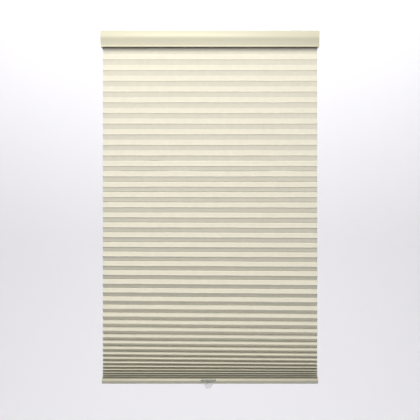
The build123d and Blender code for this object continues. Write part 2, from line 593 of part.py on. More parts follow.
# the ribbon leaves one coil on its outside and joins the outside of the other, crossing between them
output_line = OUTPUT_COIL_RADIUS - SPRING_THICKNESS / 2
storage_line = STORAGE_COIL_RADIUS - SPRING_THICKNESS / 2
crossing = acos((output_line + storage_line) / DRUM_SPACING)
output_tangent = Vector(ROD_Y - output_line * cos(crossing), ROD_Z + output_line * sin(crossing))
storage_tangent = Vector(STORAGE_Y + storage_line * cos(crossing), ROD_Z - storage_line * sin(crossing))
ribbon = storage_tangent - output_tangent
with BuildPart() as power_spring:
    with BuildSketch(Plane.YZ.offset(-SPRING_WIDTH / 2)):
        with Locations((ROD_Y, ROD_Z)):
            Circle(OUTPUT_COIL_RADIUS)
        with Locations((STORAGE_Y, ROD_Z)):
            Circle(STORAGE_COIL_RADIUS)
        middle = (output_tangent + storage_tangent) / 2
        with Locations(Location((middle.X, middle.Y, 0), (0, 0, degrees(atan2(ribbon.Y, ribbon.X))))):
            Rectangle(ribbon.length, SPRING_THICKNESS)
        with Locations((ROD_Y, ROD_Z)):
            Circle(OUTPUT_CORE_RADIUS + LOOSE_CLEARANCE, mode=Mode.SUBTRACT)
        with Locations((STORAGE_Y, ROD_Z)):
            Circle(STORAGE_CORE_RADIUS + LOOSE_CLEARANCE, mode=Mode.SUBTRACT)
    extrude(amount=SPRING_WIDTH)
finish(power_spring, "constant_force_spring")

# ---- lift cords: from a knot under the bottom rail's floor, through every cell, round the spool ----
KNOT_HEIGHT = ANCHOR_BOTTOM - LOOSE_CLEARANCE - CORD_KNOT_RADIUS
for name, side in SIDES.items():
    with BuildPart() as lift_cord:
        with BuildLine(Plane.YZ.offset(side * CORD_OFFSET)) as route:
            Line((0, KNOT_HEIGHT), (0, ROD_Z))
            CenterArc((ROD_Y, ROD_Z), WINDING_RADIUS, 180, -CORD_WRAP)
        with BuildSketch(Plane.XY.offset(KNOT_HEIGHT)):
            with Locations((side * CORD_OFFSET, 0)):
                Circle(CORD_RADIUS)
        sweep(path=route.line)
        with Locations((side * CORD_OFFSET, 0, KNOT_HEIGHT)):
            Sphere(CORD_KNOT_RADIUS)
    finish(lift_cord, f"lift_cord_{name}")

    with BuildPart() as cord_anchor:
        with Locations((side * CORD_OFFSET, 0, ANCHOR_BOTTOM)):
            Cylinder(CORD_ANCHOR_RADIUS, CORD_ANCHOR_THICKNESS, align=(Align.CENTER, Align.CENTER, Align.MIN))
            Cylinder(CORD_RADIUS + LOOSE_CLEARANCE, 4 * CORD_ANCHOR_THICKNESS, mode=Mode.SUBTRACT)
    finish(cord_anchor, f"cord_anchor_{name}")
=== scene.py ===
import math
import random

import bmesh
import bpy
import numpy as np
from mathutils import Matrix, Vector


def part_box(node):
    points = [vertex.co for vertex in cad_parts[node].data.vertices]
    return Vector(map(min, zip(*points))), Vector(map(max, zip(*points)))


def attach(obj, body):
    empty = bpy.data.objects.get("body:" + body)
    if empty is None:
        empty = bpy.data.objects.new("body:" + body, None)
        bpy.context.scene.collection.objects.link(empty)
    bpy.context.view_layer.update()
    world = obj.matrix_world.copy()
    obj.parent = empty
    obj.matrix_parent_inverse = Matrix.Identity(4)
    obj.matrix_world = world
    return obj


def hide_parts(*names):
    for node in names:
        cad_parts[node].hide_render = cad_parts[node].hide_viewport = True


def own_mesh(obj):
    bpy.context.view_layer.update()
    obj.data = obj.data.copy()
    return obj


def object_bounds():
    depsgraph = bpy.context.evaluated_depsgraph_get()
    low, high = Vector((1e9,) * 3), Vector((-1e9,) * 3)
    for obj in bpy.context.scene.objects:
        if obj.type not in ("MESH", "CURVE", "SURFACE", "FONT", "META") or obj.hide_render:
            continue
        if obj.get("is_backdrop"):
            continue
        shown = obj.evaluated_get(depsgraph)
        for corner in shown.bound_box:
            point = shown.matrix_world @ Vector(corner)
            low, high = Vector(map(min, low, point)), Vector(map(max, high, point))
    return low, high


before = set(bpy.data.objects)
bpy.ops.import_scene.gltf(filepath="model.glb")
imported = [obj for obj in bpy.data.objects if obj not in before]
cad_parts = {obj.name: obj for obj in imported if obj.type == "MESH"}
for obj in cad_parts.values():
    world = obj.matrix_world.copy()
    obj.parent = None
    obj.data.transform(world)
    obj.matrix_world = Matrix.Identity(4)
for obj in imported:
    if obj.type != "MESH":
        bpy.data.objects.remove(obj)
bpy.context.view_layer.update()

# Cordless honeycomb blind at its full drop: the looks of the rails, cloth, cords, handle and lift mechanism.
# Lengths are in metres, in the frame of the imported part: X across the blind, the front towards -Y, Z up.

bl_info = {
    "name": "Honeycomb Blind Workshop",
    "version": (1, 0, 0),
    "blender": (4, 5, 0),
    "location": "View3D > Sidebar > Blind",
    "description": "Makes the rails, cloth, cords and handle of a cordless honeycomb blind",
    "category": "Add Mesh",
}

MM = 0.001
TOUCH = 1e-6  # points closer than this are one
FIT = 0.15 * MM  # clearance of a plug or a lug in its hole
NOZZLE_HOLE = 3.15 * MM  # radius of the holes for the spool cradles' nozzles
PLUG_EDGE = 0.25 * MM
HEADRAIL_LOW, HEADRAIL_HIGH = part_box("headrail")
CLOTH_LOW, CLOTH_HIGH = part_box("honeycomb_fabric")
RAIL_LOW, RAIL_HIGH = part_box("bottom_rail")
HANDLE_LOW, HANDLE_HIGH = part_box("pull_handle")
ANCHOR_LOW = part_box("cord_anchor_right")[0]
SIDES = {"left": -1, "right": 1}


def shade(hex_value):
    """An sRGB hex value as linear red, green and blue."""
    parts = [int(hex_value[i : i + 2], 16) / 255 for i in (0, 2, 4)]
    return [p / 12.92 if p <= 0.04045 else ((p + 0.055) / 1.055) ** 2.4 for p in parts]


def number(description, default, **more):
    """A number that a user may change."""
    return bpy.props.FloatProperty(description=description, default=default, **more)


def length(description, default):
    return number(description, default, precision=5, unit="LENGTH")


def power(description, default):
    return number(description, default, unit="POWER")


def colour(description, hex_value):
    return bpy.props.FloatVectorProperty(
        description=description, subtype="COLOR", size=3, min=0, max=1, default=shade(hex_value)
    )


class RailSizes(bpy.types.PropertyGroup):
    wall: length("Thickness of the extruded walls", 1.3 * MM)
    bulge: length("Where the two planes of the headrail's front would meet", 24.2 * MM)
    bulge_drop: length("From the headrail's top to where those planes would meet", 15.5 * MM)
    bulge_radius: length("Radius of the bend between those planes", 14 * MM)
    top_front: length("Reach of the headrail's front at its top", 20.8 * MM)
    foot_front: length("Reach of the headrail's front above its lip", 16.2 * MM)
    foot_lip: length("Reach of the lip along the headrail's foot", 1.4 * MM)
    lip_height: length("Height of that lip", 2.2 * MM)
    top_lip: length("Width of the lips beside the headrail's open top", 9 * MM)
    slot: length("Width of the slots for the cloth's strips", 6.6 * MM)
    channel: length("Width of the channel behind a slot", 20.6 * MM)
    channel_depth: length("Depth of the channel behind a slot", 2.7 * MM)
    nose_drop: length("From the bottom rail's top to its nose", 5 * MM)
    nose: length("Half width of the bottom rail at its nose, unrounded", 18 * MM)
    nose_radius: length("Radius of the bottom rail's nose", 2 * MM)
    top_width: length("Width of the bottom rail's top", 29 * MM)
    base_width: length("Width of the bottom rail's base", 26 * MM)
    edge: length("Radius of the extrusion's small edges", 0.3 * MM)
    cap: length("Thickness of the headrail's end caps", 2 * MM)
    cap_plug: length("How deep the headrail's caps plug in", 9 * MM)
    bottom_cap: length("Thickness of the bottom rail's end caps", 1.5 * MM)
    bottom_plug: length("How deep the bottom rail's caps plug in", 10 * MM)
    paint: colour("Colour of the powder coat on both rails", "E5E3D1")
    plastic: colour("Colour of the moulded end caps", "EFEDDD")


class ClothSizes(bpy.types.PropertyGroup):
    cells: bpy.props.IntProperty(description="Number of whole cells in the drop", default=41, min=2)
    web: length("Cloth from a glue line to the next crease", 13.1 * MM)
    glue: length("Width of the glue lines that join the cells", 6 * MM)
    skin: length("Thickness of the cloth", 0.35 * MM)
    seam: length("Thickness of the cloth at a glue line", 0.25 * MM)
    open_pitch: length("Height of a cell that is pulled taut", 25.6 * MM)
    shut_pitch: length("Height of a cell that nothing pulls open", 0.7 * MM)
    relaxed: number("Cells from the bottom before the cloth is taut", 21)
    stiffening: number("How suddenly a cell becomes taut", 4)
    crease: number("Share of a web's reach that its crease takes", 0.3, min=0, max=0.8, subtype="FACTOR")
    slope: length("How much lower the low pleats hang at the right", 4.4 * MM)
    ripple: length("How far an open cell's crease wanders", 0.16 * MM)
    hole: length("Width of the lift cords' holes", 4 * MM)
    cord_place: length("From the middle of the blind to a lift cord", 150 * MM)
    colour: colour("Colour of the cloth", "F4F2E7")


class HandleSizes(bpy.types.PropertyGroup):
    place: length("Where the middle of the handle is across the blind", -4 * MM)
    top_width: length("Width of the handle along its top", 36 * MM)
    foot_width: length("Width of the handle along its foot", 11.5 * MM)
    thickness: length("Thickness of the handle", 3 * MM)
    corner: length("Radius of the handle's corners", 2 * MM)
    rim: length("Width of the raised rim round the finger dish", 1.8 * MM)
    dish: length("Depth of the finger dish", 1.0 * MM)
    lug_spacing: length("Between the two snap lugs", 5.4 * MM)
    lug_width: length("Width of a snap lug", 2.4 * MM)
    lug_height: length("Height of a snap lug", 2 * MM)
    lug_barb: length("How far a barb stands below its lug", 0.8 * MM)
    lug_reach: length("How far a lug passes the rail's nose", 7 * MM)
    lug_drop: length("From the rail's top to the middle of a lug", 8.5 * MM)


class CordSizes(bpy.types.PropertyGroup):
    radius: length("Radius of a lift cord", 0.6 * MM)
    winding: length("Radius at which a cord winds round its spool", 7.6 * MM)
    rod_height: length("Height of the lift rod's axis", -17.75 * MM)
    turn: number("How far round its spool a cord is wound", math.radians(300), subtype="ANGLE")
    lift: length("How far the bottom rail rises", 710 * MM)


class StageSettings(bpy.types.PropertyGroup):
    distance: length("From the camera to the blind", 2.3)
    view: length("Width of what the camera sees at the blind", 0.982)
    eye: length("Height of the camera, from the top of the brackets", -0.4172)
    key: power("Power of the soft light above and in front", 24)
    fill: power("Power of the soft light level with the headrail", 3)
    back: power("Power of the soft light behind and above", 6)
    cove: power("Power of the wide light on the backdrop", 108)
    sky: number("Strength of the even light of the room", 0.13)
    tone: colour("Colour of the floor and backdrop", "F2F1F5")


# ---- materials ----
def add_node(tree, kind, values=None, links=None, **settings):
    """Adds a node: settings are its own options, values its unlinked sockets, links its fed sockets."""
    made = tree.nodes.new("ShaderNode" + kind)
    for key, value in settings.items():
        setattr(made, key, value)
    for socket, value in (values or {}).items():
        made.inputs[socket].default_value = value
    for socket, (source, output) in (links or {}).items():
        tree.links.new(source.outputs[output], made.inputs[socket])
    return made


def new_finish(name, **shader):
    """A material with these constants on its shader's own sockets, and the link to a place on the piece."""
    finish = bpy.data.materials.new(name)
    finish.use_nodes = True
    tree = finish.node_tree
    tree.nodes.clear()
    surface = add_node(
        tree, "BsdfPrincipled", {k.replace("_", " "): v for k, v in shader.items()}
    )
    add_node(tree, "OutputMaterial", links={"Surface": (surface, "BSDF")})
    return finish, tree, surface, (add_node(tree, "TexCoord"), "Object")


def tint(tree, surface, pattern, low, high, start=0.3, end=0.7):
    """Colours the surface between two linear colours as the pattern goes from start to end."""
    ramp = add_node(tree, "ValToRGB", links={"Fac": pattern})
    ramp.color_ramp.elements[0].position, ramp.color_ramp.elements[1].position = start, end
    ramp.color_ramp.elements[0].color, ramp.color_ramp.elements[1].color = (*low, 1), (*high, 1)
    tree.links.new(ramp.outputs["Color"], surface.inputs["Base Color"])


def span(tree, surface, pattern, low, high):
    """Lets a pattern move the roughness between two values."""
    spread = add_node(tree, "MapRange", {"To Min": low, "To Max": high}, {"Value": pattern})
    tree.links.new(spread.outputs["Result"], surface.inputs["Roughness"])


def relief(tree, surface, pattern, depth, strength, under=None):
    """Raises a pattern out of the surface, or out of the relief under it, by a real depth in metres."""
    links = {"Height": pattern, "Normal": (under, "Normal")} if under else {"Height": pattern}
    bump = add_node(tree, "Bump", {"Strength": strength, "Distance": depth}, links)
    tree.links.new(bump.outputs["Normal"], surface.inputs["Normal"])
    return bump


def dimmed(linear, share):
    """A linear colour, darker by a share."""
    return [c * (1 - share) for c in linear]


def noise(tree, where, size, detail, **values):
    """Soft clouds of a size in metres."""
    values = {"Scale": 1 / size, "Detail": detail, **values}
    return add_node(tree, "TexNoise", values, {"Vector": where}), "Fac"


def grains(tree, where, size, randomness=1.0, **settings):
    """Packed grains of a size in metres."""
    values = {"Scale": 1 / size, "Randomness": randomness}
    return add_node(tree, "TexVoronoi", values, {"Vector": where}, **settings), "Distance"


def stretched(tree, where, sizes=(1, 1, 1), turn=0):
    """The place on the piece, turned in the plane of its front, then scaled: 1 is each of these sizes."""
    values = {"Rotation": (0, math.radians(turn), 0), "Scale": [1 / size for size in sizes]}
    return add_node(tree, "Mapping", values, {"Vector": where}), "Vector"


def crossed(tree, patterns, operation):
    """Two patterns that cross, as one."""
    return add_node(tree, "Math", links=dict(enumerate(patterns)), operation=operation), "Value"


def spunbonded_polyester(linear):
    """Heat-bonded polyester fibre cloth: matt and chalky, faintly cloudy where its fibres lie thicker."""
    finish, tree, surface, where = new_finish(
        "spunbonded_polyester", Roughness=0.88, IOR=1.5, Sheen_Weight=0.08, Sheen_Roughness=0.5
    )
    cloud = noise(tree, where, 12 * MM, 5.0, Roughness=0.6)
    tint(tree, surface, cloud, dimmed(linear, 0.045), linear)
    # fibres are 0.03 mm wide; they are drawn 0.5 mm wide and 6 mm long, as coarse as they need to show
    laid = [stretched(tree, where, (6 * MM, 3 * MM, 0.5 * MM), turn) for turn in (34, -41)]
    fibres = crossed(tree, [noise(tree, way, 1, 2.0) for way in laid], "MULTIPLY")
    fuzz = relief(tree, surface, fibres, 0.12 * MM, 0.5)
    # the bonding roller's points, one each 1.1 mm
    points = grains(tree, where, 1.1 * MM, 0.25)
    relief(tree, surface, points, 0.05 * MM, 0.4, under=fuzz)
    return finish


def powder_coated_aluminium(linear):
    """Baked polyester powder on an extrusion: satin, with the slight orange peel of melted powder."""
    finish, tree, surface, where = new_finish("powder_coated_aluminium", Roughness=0.38, IOR=1.5)
    film = noise(tree, where, 60 * MM, 3.0)
    tint(tree, surface, film, dimmed(linear, 0.02), linear)
    span(tree, surface, film, 0.34, 0.44)
    # orange peel, 1.5 mm from dimple to dimple, over the die's lines along the rail, 0.6 mm apart
    peel = noise(tree, where, 1.5 * MM, 2.0, Roughness=0.35)
    lines = noise(tree, stretched(tree, where, (300 * MM, 0.6 * MM, 0.6 * MM)), 1, 2.0)
    under = relief(tree, surface, lines, 0.015 * MM, 0.5)
    relief(tree, surface, peel, 0.03 * MM, 0.6, under=under)
    return finish


def formed_plastic(name, linear, roughness, grain, depth, speck=0.02, **more):
    """Moulded or extruded plastic: the fine grain of its tool, a little glossier where it is rubbed."""
    finish, tree, surface, where = new_finish(name, Roughness=roughness, **more)
    flow = noise(tree, where, 18 * MM, 3.0)
    tint(tree, surface, flow, dimmed(linear, speck), linear)
    span(tree, surface, flow, roughness - 0.05, roughness + 0.06)
    spark = grains(tree, where, grain, feature="SMOOTH_F1")
    relief(tree, surface, spark, depth, 0.5)
    return finish


def clear_polycarbonate():
    """Clear moulded polycarbonate: glassy, edges that catch the light, and faint flow lines from the gate."""
    finish, tree, surface, where = new_finish(
        "clear_polycarbonate", Roughness=0.05, IOR=1.58, Transmission_Weight=0.8
    )
    flow = noise(tree, where, 7 * MM, 1.0)
    tint(tree, surface, flow, shade("FAFCFC"), shade("FFFFFF"))
    span(tree, surface, flow, 0.03, 0.09)
    relief(tree, surface, flow, 0.05 * MM, 0.4)
    return finish


def plated_steel(name, low, high, grain, roughness):
    """Zinc-plated steel: bright grey with the cloudy spangle of the plating and fine rolling scratches."""
    finish, tree, surface, where = new_finish(name, Metallic=1.0, Roughness=roughness)
    spangle = grains(tree, where, grain)
    cloud = noise(tree, (spangle[0], "Color"), grain, 4.0, Scale=0.6 / grain)
    tint(tree, surface, cloud, low, high)
    span(tree, surface, cloud, roughness - 0.08, roughness + 0.1)
    scratches = noise(tree, stretched(tree, where, (20 * MM, 0.3 * MM, 0.3 * MM)), 1, 3.0)
    relief(tree, surface, scratches, 0.01 * MM, 0.5)
    return finish


def drawn_metal(name, low, high, roughness, along, across):
    """Bare drawn or rolled metal: fine lines along the way it was drawn."""
    finish, tree, surface, where = new_finish(name, Metallic=1.0, Roughness=roughness)
    lines = noise(tree, stretched(tree, where, (along, across, across)), 1, 3.0)
    tint(tree, surface, lines, low, high)
    span(tree, surface, lines, roughness - 0.06, roughness + 0.08)
    relief(tree, surface, lines, 0.01 * MM, 0.6)
    return finish


def braided_polyester_cord():
    """Eight-strand polyester braid: white strands that cross, with soft shadow between them."""
    finish, tree, surface, where = new_finish(
        "braided_polyester_cord", Roughness=0.7, Sheen_Weight=0.2, Sheen_Roughness=0.4
    )
    wave_length, strand = 0.314, 0.8 * MM  # of a wave at scale 1, and from strand to strand
    strands = []
    for lean in (38, -38):
        laid = {"Vector": stretched(tree, where, turn=lean)}
        values = {"Scale": wave_length / strand, "Distortion": 0.6}
        strands.append((add_node(tree, "TexWave", values, laid, bands_direction="Z"), "Fac"))
    braid = crossed(tree, strands, "MAXIMUM")
    tint(tree, surface, braid, shade("CFCBBB"), shade("F5F3EA"), 0.2, 0.8)
    relief(tree, surface, braid, 0.12 * MM, 0.8)
    return finish


def painted_studio(linear):
    """Matt emulsion on a studio cove: even, with the faint stipple of a roller."""
    finish, tree, surface, where = new_finish("painted_studio", Roughness=0.95, Specular_IOR_Level=0.2)
    stipple = noise(tree, where, 6 * MM, 3.0)
    tint(tree, surface, stipple, dimmed(linear, 0.01), linear)
    relief(tree, surface, stipple, 0.1 * MM, 0.2)
    return finish


# ---- modelling helpers ----
def only(obj):
    """Selects one object and nothing else."""
    bpy.ops.object.select_all(action="DESELECT")
    obj.select_set(True)
    bpy.context.view_layer.objects.active = obj


def start_piece(add, name, scale=(1, 1, 1), **size):
    """Adds a primitive with nothing else selected, and puts its place into its mesh."""
    bpy.ops.object.select_all(action="DESELECT")
    add(**size)
    piece = bpy.context.object
    piece.name = piece.data.name = name
    piece.scale = scale
    bpy.ops.object.transform_apply(location=True, rotation=True, scale=True)
    return piece


def block(name, low, high):
    """A box between two corners, as a start or a cutter."""
    low, high = Vector(low), Vector(high)
    return start_piece(
        bpy.ops.mesh.primitive_cube_add, name, size=1, location=(low + high) / 2, scale=high - low
    )


def mode(name):
    bpy.ops.object.mode_set(mode=name)


def extrude(step):
    """Extrudes what is selected by a step in x, y and z."""
    bpy.ops.mesh.extrude_region_move(TRANSFORM_OT_translate={"value": step})


def pick(piece, kind, test):
    """In edit mode, selects the faces, edges or verts that pass the test, and nothing else."""
    bpy.ops.mesh.select_all(action="DESELECT")
    bpy.ops.mesh.select_mode(type={"faces": "FACE", "edges": "EDGE", "verts": "VERT"}[kind])
    shape = bmesh.from_edit_mesh(piece.data)
    for part in getattr(shape, kind):
        if test(part):
            part.select_set(True)
    shape.select_flush_mode()
    bmesh.update_edit_mesh(piece.data)


def middle(part):
    """Middle of a face or edge."""
    return sum((v.co for v in part.verts), Vector()) / len(part.verts)


def drawn_strip(name, profile, start, end):
    """A strip along X, extruded side by side round a closed profile of (y, z) corners."""
    first, second = Vector((0, *profile[0])), Vector((0, *profile[1]))
    side = second - first
    strip = start_piece(
        bpy.ops.mesh.primitive_plane_add,
        name,
        size=1,
        location=((start + end) / 2, *((first + second) / 2).yz),
        rotation=(math.atan2(side.z, side.y), 0, 0),
        scale=(end - start, side.length, 1),
    )
    mode("EDIT")
    pick(strip, "edges", lambda e: (middle(e) - Vector((middle(e).x, *second.yz))).length < TOUCH)
    for here, there in zip(profile[1:], profile[2:] + profile[:1]):
        step = (0, there[0] - here[0], there[1] - here[1])
        extrude(step)
    bpy.ops.mesh.select_all(action="SELECT")
    bpy.ops.mesh.remove_doubles(threshold=TOUCH)
    mode("OBJECT")
    return strip


def drawn_bar(name, profile, start, end, hollow=None):
    """A closed bar along X with that section, and with a hollow through it where one is given."""
    bar = drawn_strip(name, profile, start, end)
    if hollow:
        tunnel = drawn_strip(f"{name}_hollow", hollow, start, end)
        only(bar)
        tunnel.select_set(True)
        bpy.ops.object.join()
    mode("EDIT")
    for x in (start, end):
        pick(bar, "edges", lambda e: e.is_boundary and all(abs(v.co.x - x) < TOUCH for v in e.verts))
        if hollow:
            bpy.ops.mesh.fill(use_beauty=True)
        else:
            bpy.ops.mesh.edge_face_add()
    bpy.ops.mesh.select_all(action="SELECT")
    bpy.ops.mesh.normals_make_consistent(inside=False)
    mode("OBJECT")
    return bar


def use(piece, kind, **settings):
    """Gives the piece a modifier and applies it."""
    only(piece)
    modifier = piece.modifiers.new(kind.title(), kind)
    for key, value in settings.items():
        setattr(modifier, key, value)
    bpy.ops.object.modifier_apply(modifier=modifier.name)


def cut(piece, *cutters):
    """Takes the cutters out of the piece."""
    for cutter in cutters:
        use(piece, "BOOLEAN", operation="DIFFERENCE", solver="EXACT", object=cutter)
        bpy.data.objects.remove(cutter)


def join(piece, *others):
    """Makes the others part of the piece."""
    only(piece)
    for other in others:
        other.select_set(True)
    bpy.ops.object.join()
    return piece


def soften(piece, edge, segments=2, angle=35):
    """Rounds the sharp edges and smooths the rest."""
    use(
        piece, "BEVEL", width=edge, segments=segments, limit_method="ANGLE",
        angle_limit=math.radians(angle), miter_outer="MITER_ARC", use_clamp_overlap=True,
    )
    only(piece)
    bpy.ops.object.shade_smooth_by_angle(angle=math.radians(angle))


def place(piece, finish, body, slot, *nodes):
    """Gives a finished piece its material and its body, and hides the nodes it stands for; the slot is not
    used.
    """
    piece.data.materials.clear()
    piece.data.materials.append(finish)
    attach(piece, body)
    if nodes:
        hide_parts(*nodes)
    return piece


def coat(finish, *nodes):
    """Gives nodes of the part a material."""
    for name in nodes:
        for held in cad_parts[name].material_slots:
            held.material = finish


def both(stem):
    """The names of a pair of nodes."""
    return [f"{stem}_{side}" for side in SIDES]


def linked(name, data):
    """A new object with this data, in the scene."""
    made = bpy.data.objects.new(name, data)
    bpy.context.scene.collection.objects.link(made)
    return made


def tube(name, line, radius, sides=10):
    """A closed round tube of mesh along a line of points."""
    points = [Vector(p) for p in line]
    shape = bmesh.new()
    rings, across = [], None
    for i, point in enumerate(points):
        ahead = (points[min(i + 1, len(points) - 1)] - points[max(i - 1, 0)]).normalized()
        across = ahead.orthogonal() if across is None else across - ahead * across.dot(ahead)
        across.normalize()
        up = ahead.cross(across)
        turns = (2 * math.pi * k / sides for k in range(sides))
        spokes = [math.cos(a) * across + math.sin(a) * up for a in turns]
        rings.append([shape.verts.new(point + radius * spoke) for spoke in spokes])
    for lower, upper in zip(rings, rings[1:]):
        for k in range(sides):
            shape.faces.new((lower[k], lower[(k + 1) % sides], upper[(k + 1) % sides], upper[k]))
    shape.faces.new(rings[0][::-1])
    shape.faces.new(rings[-1])
    bmesh.ops.recalc_face_normals(shape, faces=shape.faces)
    mesh = bpy.data.meshes.new(name)
    shape.to_mesh(mesh)
    shape.free()
    mesh.shade_smooth()
    return linked(name, mesh)


# ---- sections of the rails: corners are (y, z), from the top front corner down the front and round ----
def inward(corners, inset):
    """The corners, each moved in so that both its sides move in by the inset."""
    corners = [Vector(corner) for corner in corners]
    moved = []
    for before, corner, after in zip(corners[-1:] + corners, corners, corners[1:] + corners[:1]):
        first, second = (Vector((-side.y, side.x)).normalized() for side in (corner - before, after - corner))
        moved.append(corner + inset * (first + second) / (1 + first.dot(second)))
    return moved


def rounded(before, corner, after, radius, steps=12):
    """Points of the arc that rounds a corner and touches both its sides."""
    back, ahead = (before - corner).normalized(), (after - corner).normalized()
    half = back.angle(ahead) / 2
    centre = corner + (back + ahead).normalized() * radius / math.sin(half)
    start = corner + back * radius / math.tan(half) - centre
    return [centre + Matrix.Rotation((math.pi - 2 * half) * k / steps, 2) @ start for k in range(steps + 1)]


def clipped(corners, height, side):
    """What is left of an outline above a height, or below it where side is -1."""
    kept = []
    for here, ahead in zip(corners, corners[1:] + corners[:1]):
        if side * (here.y - height) >= 0:
            kept.append(here)
        if (here.y - height) * (ahead.y - height) < 0:
            kept.append(here.lerp(ahead, (height - here.y) / (ahead.y - here.y)))
    return kept


def headrail_outline(sizes, inset=0.0):
    """The headrail's outline: two flat planes that meet in a bulge, a foot lip and a straight back."""
    lip_top, lip_front = HEADRAIL_LOW.z + sizes.lip_height, -sizes.foot_front - sizes.foot_lip
    corners = inward(
        [
            (-sizes.top_front, HEADRAIL_HIGH.z),
            (-sizes.bulge, HEADRAIL_HIGH.z - sizes.bulge_drop),
            (-sizes.foot_front, lip_top),
            (lip_front, lip_top),
            (lip_front, HEADRAIL_LOW.z),
            (HEADRAIL_HIGH.y, HEADRAIL_LOW.z),
            (HEADRAIL_HIGH.y, HEADRAIL_HIGH.z),
        ],
        inset,
    )
    return [corners[0], *rounded(*corners[:3], sizes.bulge_radius - inset), *corners[2:]]


def headrail_room(sizes, gap=0.0):
    """The room inside the headrail, above its channel and smaller by a gap."""
    floor = HEADRAIL_LOW.z + 2 * sizes.wall + sizes.channel_depth + gap
    return clipped(headrail_outline(sizes, sizes.wall + gap), floor, 1)


def bottom_outline(sizes, inset=0.0):
    """The bottom rail's outline: a flat top and base, and a rounded nose at the front and the back."""
    nose_z = RAIL_HIGH.z - sizes.nose_drop
    corners = inward(
        [
            (-sizes.top_width / 2, RAIL_HIGH.z),
            (-sizes.nose, nose_z),
            (-sizes.base_width / 2, RAIL_LOW.z),
            (sizes.base_width / 2, RAIL_LOW.z),
            (sizes.nose, nose_z),
            (sizes.top_width / 2, RAIL_HIGH.z),
        ],
        inset,
    )
    front, back = (rounded(*corners[i : i + 3], sizes.nose_radius - inset, 6) for i in (0, 3))
    return [corners[0], *front, *corners[2:4], *back, corners[5]]


def bottom_room(sizes, gap=0.0):
    """The hollow of the bottom rail, under its channel and smaller by a gap."""
    ceiling = RAIL_HIGH.z - 2 * sizes.wall - sizes.channel_depth - gap
    return clipped(bottom_outline(sizes, sizes.wall + gap), ceiling, -1)


# ---- the pieces ----
class Step:
    """What the operators share: each makes its own pieces."""

    def execute(self, context):
        self.make(context.scene)
        return {"FINISHED"}


def drill(piece, x, z, radius, depth, sides):
    """Drills a hole down through a piece at its middle."""
    cut(
        piece,
        start_piece(
            bpy.ops.mesh.primitive_cylinder_add, "drill", vertices=sides, radius=radius, depth=depth,
            location=(x, 0, z),
        ),
    )


def end_caps(sizes, material, title, body, node, reach, thickness, depth, edge, outline, room, wall=None):
    """Moulds a rail's end caps: a rounded plate over each end and a plug inside, hollow if it has a wall."""
    finish = formed_plastic(material, sizes.plastic[:], 0.42, 0.9 * MM, 0.02 * MM, IOR=1.54)
    for name, side in SIDES.items():
        end = side * reach
        cap = drawn_bar(f"{title}_{name}", outline, *sorted((end, end + side * thickness)))
        soften(cap, edge, 3, 50)
        plug = drawn_bar("plug", room, *sorted((end, end - side * depth)))
        if wall:
            mode("EDIT")
            pick(plug, "faces", lambda f: abs(middle(f).x - (end - side * depth)) < 10 * TOUCH)
            bpy.ops.mesh.inset(thickness=2 * wall)
            extrude((side * (depth - wall), 0, 0))
            mode("OBJECT")
        soften(plug, PLUG_EDGE, 1, 50)
        place(join(cap, plug), finish, body, "cap_plastic", f"{node}_{name}")


class MakeHeadrail(Step, bpy.types.Operator):
    """Draws the headrail: a channel with a bulged front, an open top and a slot below for the strip"""

    bl_idname = "blind.headrail"
    bl_label = "Headrail"

    def make(self, scene):
        sizes = scene.blind_rails
        top, foot = HEADRAIL_HIGH.z, HEADRAIL_LOW.z
        room = headrail_room(sizes)
        mouth_front = min(y for y, z in room) + sizes.top_lip
        mouth_back = max(y for y, z in room) - sizes.top_lip
        outline = headrail_outline(sizes)
        slot, channel = sizes.slot / 2, sizes.channel / 2
        lip, floor = foot + sizes.wall, foot + sizes.wall + sizes.channel_depth
        front_wall, back_wall = sizes.wall - sizes.foot_front, HEADRAIL_HIGH.y - sizes.wall
        outside = channel + sizes.wall
        below = [
            (front_wall, foot), (front_wall, floor), (-outside, floor), (-outside, foot),
            (-slot, foot), (-slot, lip), (-channel, lip), (-channel, floor),
            (channel, floor), (channel, lip), (slot, lip), (slot, foot),
            (outside, foot), (outside, floor), (back_wall, floor), (back_wall, foot),
        ]
        inside = [(mouth_back, top), (mouth_back, top - sizes.wall), *reversed(room)]
        section = [
            (mouth_front, top), *outline[:-2], *below, *outline[-2:], *inside,
            (mouth_front, top - sizes.wall),
        ]
        rail = drawn_bar("headrail_channel", section, HEADRAIL_LOW.x, HEADRAIL_HIGH.x)
        for side in SIDES.values():
            x = side * scene.blind_cloth.cord_place
            drill(rail, x, floor + sizes.wall, NOZZLE_HOLE, 4 * sizes.channel_depth, 32)
        soften(rail, sizes.edge)
        place(rail, powder_coated_aluminium(sizes.paint[:]), "headrail_assembly", "rail_paint", "headrail")


class MakeHeadrailCaps(Step, bpy.types.Operator):
    """Moulds the headrail's two end caps: a rounded plate over the end, and a hollow plug that fits inside"""

    bl_idname = "blind.headrail_caps"
    bl_label = "Headrail end caps"

    def make(self, scene):
        sizes = scene.blind_rails
        end_caps(
            sizes, "moulded_abs_caps", "headrail_cap", "headrail_assembly", "headrail_end_cap",
            HEADRAIL_HIGH.x, sizes.cap, sizes.cap_plug, 0.6 * MM, headrail_outline(sizes),
            headrail_room(sizes, FIT), sizes.wall,
        )


